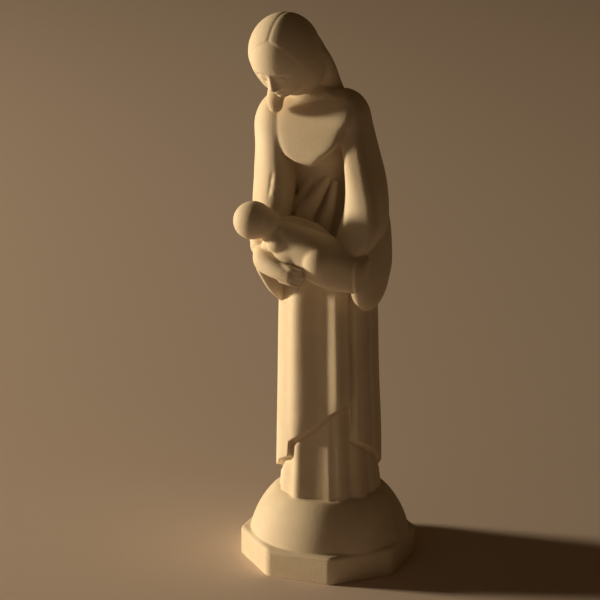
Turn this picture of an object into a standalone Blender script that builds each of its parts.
"""A mother holding her child, cast as one pale ceramic piece on a domed, eight-sided plinth.

Metres, +Z up. The figure faces -Y, her left arm is at +X, and the origin is the middle of the
plinth's underside. The figure is a free form: its pose and carving are shares of its own height,
written in the figure's unit, which is 1 mm when the figure is 252 mm tall, and its heights are
counted from the hem. The plinth has sizes of its own, and the figure stands on it.
"""

import math

import bmesh
import bpy
from mathutils import Matrix, Vector

# The plinth, in metres
SLAB_ACROSS_FLATS = 0.0842
SLAB_HEIGHT = 0.0148
SLAB_EDGE_ROUND = 0.0022
DOME_HEIGHT = 0.0230
DOME_FOOT_LEDGE = 0.0014  # the flat of the slab that shows outside the dome
DOME_TOP_LEDGE = 0.0006  # the flat of the dome that shows outside the robe
DOME_SHIFT = 0.0008  # how far the dome stands to her left of the slab's middle
DOME_FULLNESS = 1.4  # the power of the dome's rounded side: 1 is a cone, and more is squarer

# The figure, in metres
FIGURE_HEIGHT = 0.2520
NAME = "madonna_and_child"
SHADE = (0.80, 0.70, 0.55, 1.0)

# How finely the forms are joined, and how many triangles are kept
JOIN_STEPS_IN_HEIGHT = 250
TRIANGLES = 9400

UNIT = FIGURE_HEIGHT / 252
PLINTH_HEIGHT = SLAB_HEIGHT + DOME_HEIGHT
ROUND = 72  # points round a large ring
SMALL_ROUND = 32

# Each row: height, middle x and y, half width, half depth
GOWN = (
    (-3, 0.8, 0.0, 25.9, 25.6),
    (4, 0.8, 0.0, 25.6, 25.3),
    (14, 0.6, 0.0, 24.6, 24.4),
    (30, 0.3, 0.0, 23.7, 23.5),
    (62, 0.0, 0.0, 22.8, 22.6),
)
MANTLE = (
    (10, -0.1, 0.0, 26.9, 26.8),
    (30, -0.1, 0.0, 26.6, 26.5),
    (60, -0.5, 0.0, 25.7, 25.7),
    (95, -0.7, 0.0, 25.0, 25.0),
    (115, -0.9, 0.5, 24.2, 24.0),
    (135, -1.3, 1.5, 22.2, 21.0),
    (150, -1.8, 1.8, 19.0, 18.0),
    (160, -2.3, 1.5, 16.8, 16.6),
    (169, -2.6, 1.0, 15.2, 15.8),
)
TORSO = (
    (158, -2.3, 1.2, 15.0, 15.6),
    (167, -2.6, 0.4, 15.2, 15.8),
    (170.5, -2.8, -0.6, 15.4, 17.0),
    (174.5, -3.0, -3.4, 15.8, 18.8),
    (178.5, -3.4, -5.2, 16.6, 19.9),
    (181.5, -3.8, -5.4, 17.4, 19.6),
    (187, -4.3, -4.6, 18.8, 18.6),
    (195, -5.0, -3.4, 20.8, 16.4),
    (201, -5.6, -2.4, 20.8, 13.8),
    (207, -6.4, -2.0, 16.5, 10.8),
    (212, -7.2, -2.2, 10.5, 9.0),
    (217, -8.0, -3.0, 7.0, 7.0),
)
RIGHT_SLEEVE = (
    (208.5, -22.0, -5.0, 3.0, 4.5),
    (206, -24.0, -5.0, 6.0, 7.5),
    (200, -26.0, -5.6, 7.8, 9.8),
    (192, -26.4, -7.0, 8.6, 12.2),
    (180, -25.4, -9.5, 8.2, 16.0),
    (167, -24.4, -12.0, 8.0, 19.0),
    (155, -23.8, -14.5, 8.4, 22.0),
    (145, -22.8, -16.5, 8.6, 24.5),
    (135, -20.6, -16.0, 8.2, 24.0),
    (125, -20.0, -16.0, 8.0, 23.0),
    (117, -19.8, -15.0, 7.4, 21.0),
    (110, -19.6, -13.0, 6.6, 17.5),
    (104, -19.0, -12.0, 4.8, 12.0),
    (99.5, -18.0, -10.5, 2.4, 5.0),
)
LEFT_SLEEVE = (
    (211, 8.6, -4.0, 3.0, 4.5),
    (208, 11.0, -4.5, 5.8, 8.0),
    (202, 13.8, -5.0, 7.2, 10.5),
    (193, 16.8, -6.5, 7.2, 11.5),
    (180, 20.1, -9.0, 7.2, 14.5),
    (167, 22.4, -11.5, 7.8, 18.0),
    (155, 23.5, -13.5, 7.5, 20.5),
    (146, 23.6, -15.5, 7.4, 22.5),
    (138, 21.8, -17.0, 8.8, 24.0),
    (131, 19.6, -19.5, 7.0, 20.0),
    (126, 19.0, -19.0, 5.0, 14.0),
)
LEFT_DRAPE = (
    (196, 15.8, 2.0, 3.0, 6.0),
    (186, 16.5, 2.0, 5.5, 10.0),
    (170, 19.0, 1.5, 6.4, 13.0),
    (159, 20.4, 1.0, 7.0, 14.5),
    (150, 21.5, 0.0, 7.2, 16.0),
    (140, 23.5, -2.5, 7.5, 18.5),
    (130, 24.6, -5.0, 7.6, 20.5),
    (121, 25.0, -6.5, 7.6, 21.5),
    (114.5, 24.9, -7.5, 7.0, 20.5),
    (108, 24.8, -8.0, 6.2, 17.5),
    (102, 24.3, -7.5, 4.6, 12.5),
    (97.5, 23.2, -6.0, 2.6, 6.0),
)
VEIL = (
    (240, -14.0, -21.0, 13.6, 13.2),
    (232, -12.2, -15.8, 16.0, 13.8),
    (223, -10.4, -8.2, 16.0, 12.0),
    (214, -8.8, -1.5, 15.2, 9.4),
    (207, -7.4, 3.0, 15.2, 8.2),
    (200, -6.2, 6.6, 16.0, 7.4),
    (190, -5.2, 9.2, 16.6, 7.0),
    (178, -4.6, 10.6, 16.6, 6.8),
    (168, -4.2, 11.6, 15.4, 6.2),
    (160, -4.0, 12.0, 12.0, 5.4),
    (155, -4.0, 12.2, 7.0, 4.0),
)

# Each row: the angle from the front towards her left, the width in degrees, and the height
GOWN_FOLDS = (
    (-62, 8, -0.8),
    (-48, 7, 0.5),
    (-33, 9, 1.0),
    (-5, 9, -3.2),
    (15, 6, 1.0),
    (24.5, 3.5, -1.2),
    (33, 6, 0.8),
    (47, 5, -1.2),
    (60, 7, 0.8),
    (76, 5, -1.0),
)
MANTLE_FOLDS = (
    (-62, 7, -0.6),
    (-32, 11, 1.1),
    (2, 14, -2.3),
    (27, 6, 1.6),
    (50, 4, -1.7),
    (63, 7, 0.6),
    (79, 5, -0.8),
)
BACK_FOLDS = 7
BACK_FOLD_DEPTH = 1.2

# The mantle's lower edge: angle from the front towards her left, and height
HEM = (
    (-180, 9),
    (-100, 9),
    (-69, 10.5),
    (-48.5, 17),
    (-29.2, 21.4),
    (-27.6, 29.7),
    (7, 40),
    (43.4, 52.4),
    (47.2, 54),
    (48.4, 33),
    (67, 28),
    (90, 22),
    (111, 11),
    (180, 9),
)


def place(x, y, z):
    """A point of the figure, from its own units, in metres."""
    return Vector((x * UNIT, y * UNIT, PLINTH_HEIGHT + z * UNIT))


def between(rows, steps):
    """The rows, with others read smoothly between them so that each gap has that many steps."""
    found = []
    for i in range(len(rows) - 1):
        p0 = rows[max(i - 1, 0)]
        p1, p2 = rows[i], rows[i + 1]
        p3 = rows[min(i + 2, len(rows) - 1)]
        for k in range(steps):
            t = k / steps
            found.append(
                tuple(
                    0.5 * (2 * b + (c - a) * t + (2 * a - 5 * b + 4 * c - d) * t**2 + (3 * b - a - 3 * c + d) * t**3)
                    for a, b, c, d in zip(p0, p1, p2, p3)
                )
            )
    found.append(tuple(rows[-1]))
    return found


def straight_between(rows, x):
    """The second value of the rows at x, read along straight lines."""
    for (x0, y0), (x1, y1) in zip(rows, rows[1:]):
        if x0 <= x <= x1:
            return y0 + (y1 - y0) * (x - x0) / (x1 - x0)
    return rows[-1][1]


def loft(name, rings):
    """A closed mesh object through rings of points, all with the same number of points."""
    shape = bmesh.new()
    loops = [[shape.verts.new(point) for point in ring] for ring in rings]
    for low, high in zip(loops, loops[1:]):
        for i in range(len(low)):
            j = (i + 1) % len(low)
            shape.faces.new((low[i], low[j], high[j], high[i]))
    shape.faces.new(loops[0])
    shape.faces.new(loops[-1])
    bmesh.ops.recalc_face_normals(shape, faces=shape.faces)
    mesh = bpy.data.meshes.new(name)
    shape.to_mesh(mesh)
    shape.free()
    return linked(name, mesh)


def linked(name, mesh):
    thing = bpy.data.objects.new(name, mesh)
    bpy.context.scene.collection.objects.link(thing)
    return thing


def oval(x, y, half_x, half_y, z, power=2.0, steps=SMALL_ROUND):
    """A level ring of the figure, a superellipse."""
    ring = []
    for i in range(steps):
        a = 2 * math.pi * i / steps
        c, s = math.cos(a), math.sin(a)
        ring.append(
            place(
                x + half_x * math.copysign(abs(c) ** (2 / power), c),
                y + half_y * math.copysign(abs(s) ** (2 / power), s),
                z,
            )
        )
    return ring


def stack(name, rows, power=2.0, steps=SMALL_ROUND):
    """A closed form through level ovals, one to each row of height, middle x and y, and half sizes."""
    return loft(name, [oval(x, y, a, b, z, power, steps) for z, x, y, a, b in between(rows, 4)])


def ball(name, middle, radii, turn=Matrix.Identity(3)):
    """An ellipsoid of the figure."""
    shape = bmesh.new()
    bmesh.ops.create_uvsphere(shape, u_segments=40, v_segments=24, radius=1)
    grown = turn @ Matrix.Diagonal(Vector(radii))
    for vert in shape.verts:
        vert.co = place(*(Vector(middle) + grown @ vert.co))
    mesh = bpy.data.meshes.new(name)
    shape.to_mesh(mesh)
    shape.free()
    return linked(name, mesh)


def tube(name, rows, power=2.0, blunt=(1.0, 1.0)):
    """A form along the rows of x, y, z, half width and half height. Its ends are round, or blunter."""
    rows = between(rows, 5)
    points = [Vector(row[:3]) for row in rows]
    last = len(points) - 1
    rings = []
    for i, point in enumerate(points):
        along = (points[min(i + 1, last)] - points[max(i - 1, 0)]).normalized()
        across = along.cross(Vector((0, 0, 1))).normalized()
        up = across.cross(along)
        wide, high = rows[i][3:5]
        spots = [(0.0, 1.0)]
        round_end = [(math.cos(a), math.sin(a)) for a in (0.2, 0.6, 1.0, 1.3)]
        reach = min(wide, high)
        if i == 0:
            spots = [(-c * reach * blunt[0], s) for c, s in round_end] + spots
        if i == last:
            spots += [(c * reach * blunt[1], s) for c, s in reversed(round_end)]
        for shift, size in spots:
            ring = []
            for k in range(SMALL_ROUND):
                a = 2 * math.pi * k / SMALL_ROUND
                c, s = math.cos(a), math.sin(a)
                w = wide * size * math.copysign(abs(c) ** (2 / power), c)
                h = high * size * math.copysign(abs(s) ** (2 / power), s)
                ring.append(place(*(point + along * shift + across * w + up * h)))
            rings.append(ring)
    return loft(name, rings)


def limb(name, rows):
    """A round form along the rows of x, y, z and radius."""
    return tube(name, [row + row[-1:] for row in rows])


def fold_height(folds, angle):
    """How far the folds stand out at this angle from the front, in degrees."""
    height = sum(h * math.exp(-(((angle - middle) / width) ** 2)) for middle, width, h in folds)
    behind = max(0.0, (abs(angle) - 85) / 20)
    wave = math.cos(math.radians(angle - 180) * BACK_FOLDS * 2)
    return height + min(behind, 1.0) * BACK_FOLD_DEPTH * (wave - 0.3)


def robe_ring(row, folds, share, height_at=None):
    """A ring round the body with its folds, level or at the height that height_at gives for an angle."""
    z, x, y, half_x, half_y = row
    ring = []
    for i in range(ROUND * 2):
        angle = -180 + 180 * i / ROUND
        a = math.radians(angle)
        out = fold_height(folds, angle) * share
        at = z if height_at is None else height_at(angle)
        ring.append(place(x + (half_x + out) * math.sin(a), y - (half_y + out) * math.cos(a), at))
    return ring


def gown():
    return loft("gown", [robe_ring(row, GOWN_FOLDS, 1.0) for row in between(GOWN, 4)])


def mantle():
    """The outer robe, from its slanting hem up to the waist. Its folds fade towards the waist."""
    rows = between(MANTLE, 6)
    top = rows[-1][0]
    rings = []
    inner = (0, 0, 0, rows[0][3] - 8, rows[0][4] - 8)
    rings.append(robe_ring(inner, MANTLE_FOLDS, 0.0, lambda angle: straight_between(HEM, angle)))
    for row in rows:
        share = (row[0] - rows[0][0]) / (top - rows[0][0])
        fade = min(1.0, (top - row[0]) / 45)

        def height(angle, share=share):
            hem = straight_between(HEM, angle)
            return hem + (top - hem) * share

        rings.append(robe_ring(row, MANTLE_FOLDS, fade, height))
    return loft("mantle", rings)


def turned(forward, up=Vector((0, 0, 1))):
    """The turn whose columns are a form's own side, front and top directions."""
    front = forward.normalized()
    side = front.cross(up).normalized()
    return Matrix((side, front, side.cross(front))).transposed()


def head():
    """Her bowed head: the skull and face, the hair over it, and the veil falling behind."""
    middle = Vector((-14.3, -25, 231.5))
    turn = turned(Vector((-0.08, -0.81, -0.585)))
    front, top = turn.col[1], turn.col[2]
    return [
        ball("hair", middle - front * 1.5 + top * 0.8, (17.6, 19.2, 19.2), turn),
        ball("face", middle + front * 5.5 - top * 4.0, (11.4, 12.6, 14.2), turn),
        ball("jaw", middle + front * 8.5 - top * 12.5, (6.2, 6.6, 6.0), turn),
        limb("nose", (tuple(middle + front * 16.4) + (1.4,), tuple(middle + front * 18.6 - top * 5.5) + (1.9,))),
        stack("veil", VEIL),
        limb("neck", ((-7.5, -2, 206, 8.5), (-9.0, -6, 214, 7.2), (-12, -15, 224, 7.5))),
        limb(
            "lock",
            (
                (-18, -19, 219, 4.6),
                (-20, -20.5, 211, 4.8),
                (-20.8, -21.5, 204, 3.8),
                (-20.4, -21.5, 199, 1.8),
            ),
        ),
    ]


def waist():
    """The gathers of the gown that fan out from her waist."""
    return [
        limb("gather", ((3, -13.5, 166, 2.4), (0.5, -16, 158, 3.4), (-3.8, -18, 149, 4.2), (-8, -19.5, 140, 4.8))),
        limb("gather", ((8, -12.5, 164, 2.0), (7.2, -15.5, 155, 2.8), (6, -18, 146, 3.3), (5, -19.5, 138, 3.6))),
        limb("gather", ((-4, -13.5, 166, 2.4), (-9, -15, 156, 3.4), (-15, -15.5, 146, 4.2))),
    ]


def forearms():
    """The forms of her forearms under the sleeves."""
    return [
        limb("left_forearm", ((24.0, -10, 156, 8.5), (23.6, -20, 149, 9.0), (22.5, -28, 138, 8.0), (22, -30, 130, 5.5))),
        limb("right_forearm", ((-24.5, -14, 152, 8.0), (-23.5, -27, 143, 8.0), (-22, -35, 136, 6.0))),
    ]


def child():
    """The swaddled child across her arms, its head on her right."""
    middle = Vector((-22.5, -47.0, 151.5))
    turn = turned(Vector((0.62, 0.35, 0.25)))
    front, top = turn.col[1], turn.col[2]
    body = (
        (-14, -42.0, 145.5, 6.5, 6.0),
        (-10, -40.0, 143.5, 8.8, 8.0),
        (-3, -38.6, 139.8, 10.2, 9.6),
        (4, -38.2, 136.2, 11.2, 11.0),
        (12, -38.0, 132.4, 12.2, 11.6),
        (19, -37.4, 129.8, 11.6, 11.2),
        (25, -36.8, 128.2, 10.6, 10.4),
        (31.5, -36.2, 126.6, 9.4, 9.2),
    )
    rim = (
        (-16.5, -34.0, 148.5, 2.6),
        (-8.0, -28.5, 147.8, 3.0),
        (3.0, -27.0, 144.8, 3.0),
        (11.5, -29.0, 140.4, 2.8),
        (21.0, -31.4, 137.4, 2.6),
        (30.0, -32.4, 133.4, 2.4),
    )
    return [
        ball("child_head", middle + front * 0.6 + top * 0.4, (9.3, 9.8, 9.5), turn),
        ball("child_face", middle + front * 5.5 - top * 3.0, (8.0, 7.6, 8.2), turn),
        tube("child_body", body, 2.5, (1.0, 0.25)),
        ball("child_knees", (9.5, -46.0, 135.0), (6.0, 6.6, 7.0)),
        ball("child_back", (-13, -41.0, 137.0), (7.0, 5.0, 6.5)),
        ball("child_shoulder", (-9.5, -45.0, 141.5), (6.0, 5.0, 5.4)),
        limb("cloth_edge", rim),
    ]


def hands():
    """Her right hand round the child's back, and her left one under its legs."""
    made = [
        tube(
            "right_palm",
            (
                (-20.5, -39.5, 132.6, 4.4, 5.6),
                (-17.5, -44.5, 131.4, 4.8, 5.8),
                (-12, -47.6, 129.8, 4.6, 5.2),
                (-5.5, -49.8, 128.2, 4.0, 4.4),
                (-1.5, -50.8, 127.4, 3.2, 3.8),
            ),
        ),
        tube("left_hand", ((26, -20, 121, 5.0, 3.6), (21, -28, 118.6, 5.2, 3.4), (13.5, -35, 118.4, 4.6, 2.6))),
    ]
    for i in range(4):
        z = 132.2 - 2.6 * i
        reach = (5.5, 7.0, 6.2, 4.2)[i]
        made.append(
            limb(
                f"right_finger_{i}",
                ((-5, -50.2, z, 1.8), (0.5, -52.0 + 0.4 * i, z - 0.6, 1.75), (reach, -51.0 + 0.8 * i, z - 1.6, 1.5)),
            )
        )
    return made


def plinth():
    """The eight-sided slab and the dome on it, one solid each, to be joined with the figure."""
    slab = bmesh.new()
    radius = SLAB_ACROSS_FLATS / 2 / math.cos(math.pi / 8)
    bmesh.ops.create_cone(
        slab, cap_ends=True, segments=8, radius1=radius, radius2=radius, depth=SLAB_HEIGHT
    )
    bmesh.ops.rotate(slab, verts=slab.verts, matrix=Matrix.Rotation(math.pi / 8, 3, "Z"))
    bmesh.ops.translate(slab, verts=slab.verts, vec=(0, 0, SLAB_HEIGHT / 2))
    rounded = [edge for edge in slab.edges if max(v.co.z for v in edge.verts) > SLAB_HEIGHT / 2]
    bmesh.ops.bevel(
        slab, geom=rounded, offset=SLAB_EDGE_ROUND, segments=4, profile=0.5, affect="EDGES"
    )
    mesh = bpy.data.meshes.new("slab")
    slab.to_mesh(mesh)
    slab.free()
    foot = SLAB_ACROSS_FLATS / 2 - DOME_FOOT_LEDGE
    top = (GOWN[0][3]) * UNIT + DOME_TOP_LEDGE
    rings = []
    steps = 16
    for i in range(steps + 1):
        a = math.pi / 2 * i / steps
        out = math.cos(a) ** (2 / DOME_FULLNESS)
        rise = math.sin(a) ** (2 / DOME_FULLNESS)
        r = top + (foot - top) * out
        z = SLAB_HEIGHT + DOME_HEIGHT * rise
        rings.append([(DOME_SHIFT + r * math.cos(b), r * math.sin(b), z) for b in ring_angles()])
    rings.insert(0, [(x, y, SLAB_HEIGHT / 2) for x, y, _ in rings[0]])
    return [linked("slab", mesh), loft("dome", rings)]


def ring_angles():
    return [2 * math.pi * i / ROUND for i in range(ROUND)]


def joined(name, parts):
    """The parts as one mesh object, still overlapping."""
    whole = bmesh.new()
    for part in parts:
        whole.from_mesh(part.data)
        bpy.data.objects.remove(part)
    mesh = bpy.data.meshes.new(name)
    whole.to_mesh(mesh)
    whole.free()
    return linked(name, mesh)


def fused(name, parts, step, smoothing):
    """The overlapping parts as one skin, with the creases where they meet softened."""
    thing = joined(name, parts)
    skin = thing.modifiers.new("Skin", "REMESH")
    skin.mode = "VOXEL"
    skin.voxel_size = step
    ease = thing.modifiers.new("Ease", "SMOOTH")
    ease.factor = 0.5
    ease.iterations = smoothing
    return baked(thing)


def baked(thing):
    """The object with its modifiers applied, and without the pockets closed in between its parts."""
    graph = bpy.context.evaluated_depsgraph_get()
    mesh = bpy.data.meshes.new_from_object(thing.evaluated_get(graph))
    name = thing.name
    bpy.data.objects.remove(thing)
    mesh.name = name
    skin = bmesh.new()
    skin.from_mesh(mesh)
    pockets = set(skin.verts) - outer_shell(skin)
    bmesh.ops.delete(skin, geom=list(pockets), context="VERTS")
    skin.to_mesh(mesh)
    skin.free()
    return linked(name, mesh)


def outer_shell(skin):
    """The vertices joined to the highest one."""
    top = max(skin.verts, key=lambda vert: vert.co.z)
    found = {top}
    edge = [top]
    while edge:
        near = {link.other_vert(vert) for vert in edge for link in vert.link_edges}
        edge = list(near - found)
        found.update(edge)
    return found


def main():
    for thing in list(bpy.data.objects):
        bpy.data.objects.remove(thing)
    step = FIGURE_HEIGHT / JOIN_STEPS_IN_HEIGHT
    body = fused(
        "body",
        [
            stack("torso", TORSO, 2.4),
            stack("right_sleeve", RIGHT_SLEEVE, 2.3),
            stack("left_sleeve", LEFT_SLEEVE, 2.3),
        ]
        + forearms(),
        step,
        5,
    )
    crown = fused("crown", head(), step, 5)
    infant = fused("infant", child(), step, 3)
    drape = stack("left_drape", LEFT_DRAPE, 2.2)
    statue = fused(
        NAME,
        [body, crown, infant, drape, gown(), mantle()] + waist() + hands() + plinth(),
        step,
        2,
    )
    thin = statue.modifiers.new("Thin", "DECIMATE")
    count = sum(len(face.vertices) - 2 for face in statue.data.polygons)
    thin.ratio = min(1.0, TRIANGLES / count)
    thin.use_collapse_triangulate = True
    material = bpy.data.materials.new("ceramic")
    material.use_nodes = True
    surface = material.node_tree.nodes["Principled BSDF"]
    surface.inputs["Base Color"].default_value = SHADE
    surface.inputs["Roughness"].default_value = 0.75
    statue.data.materials.clear()
    statue.data.materials.append(material)
    statue.data.shade_smooth()


main()
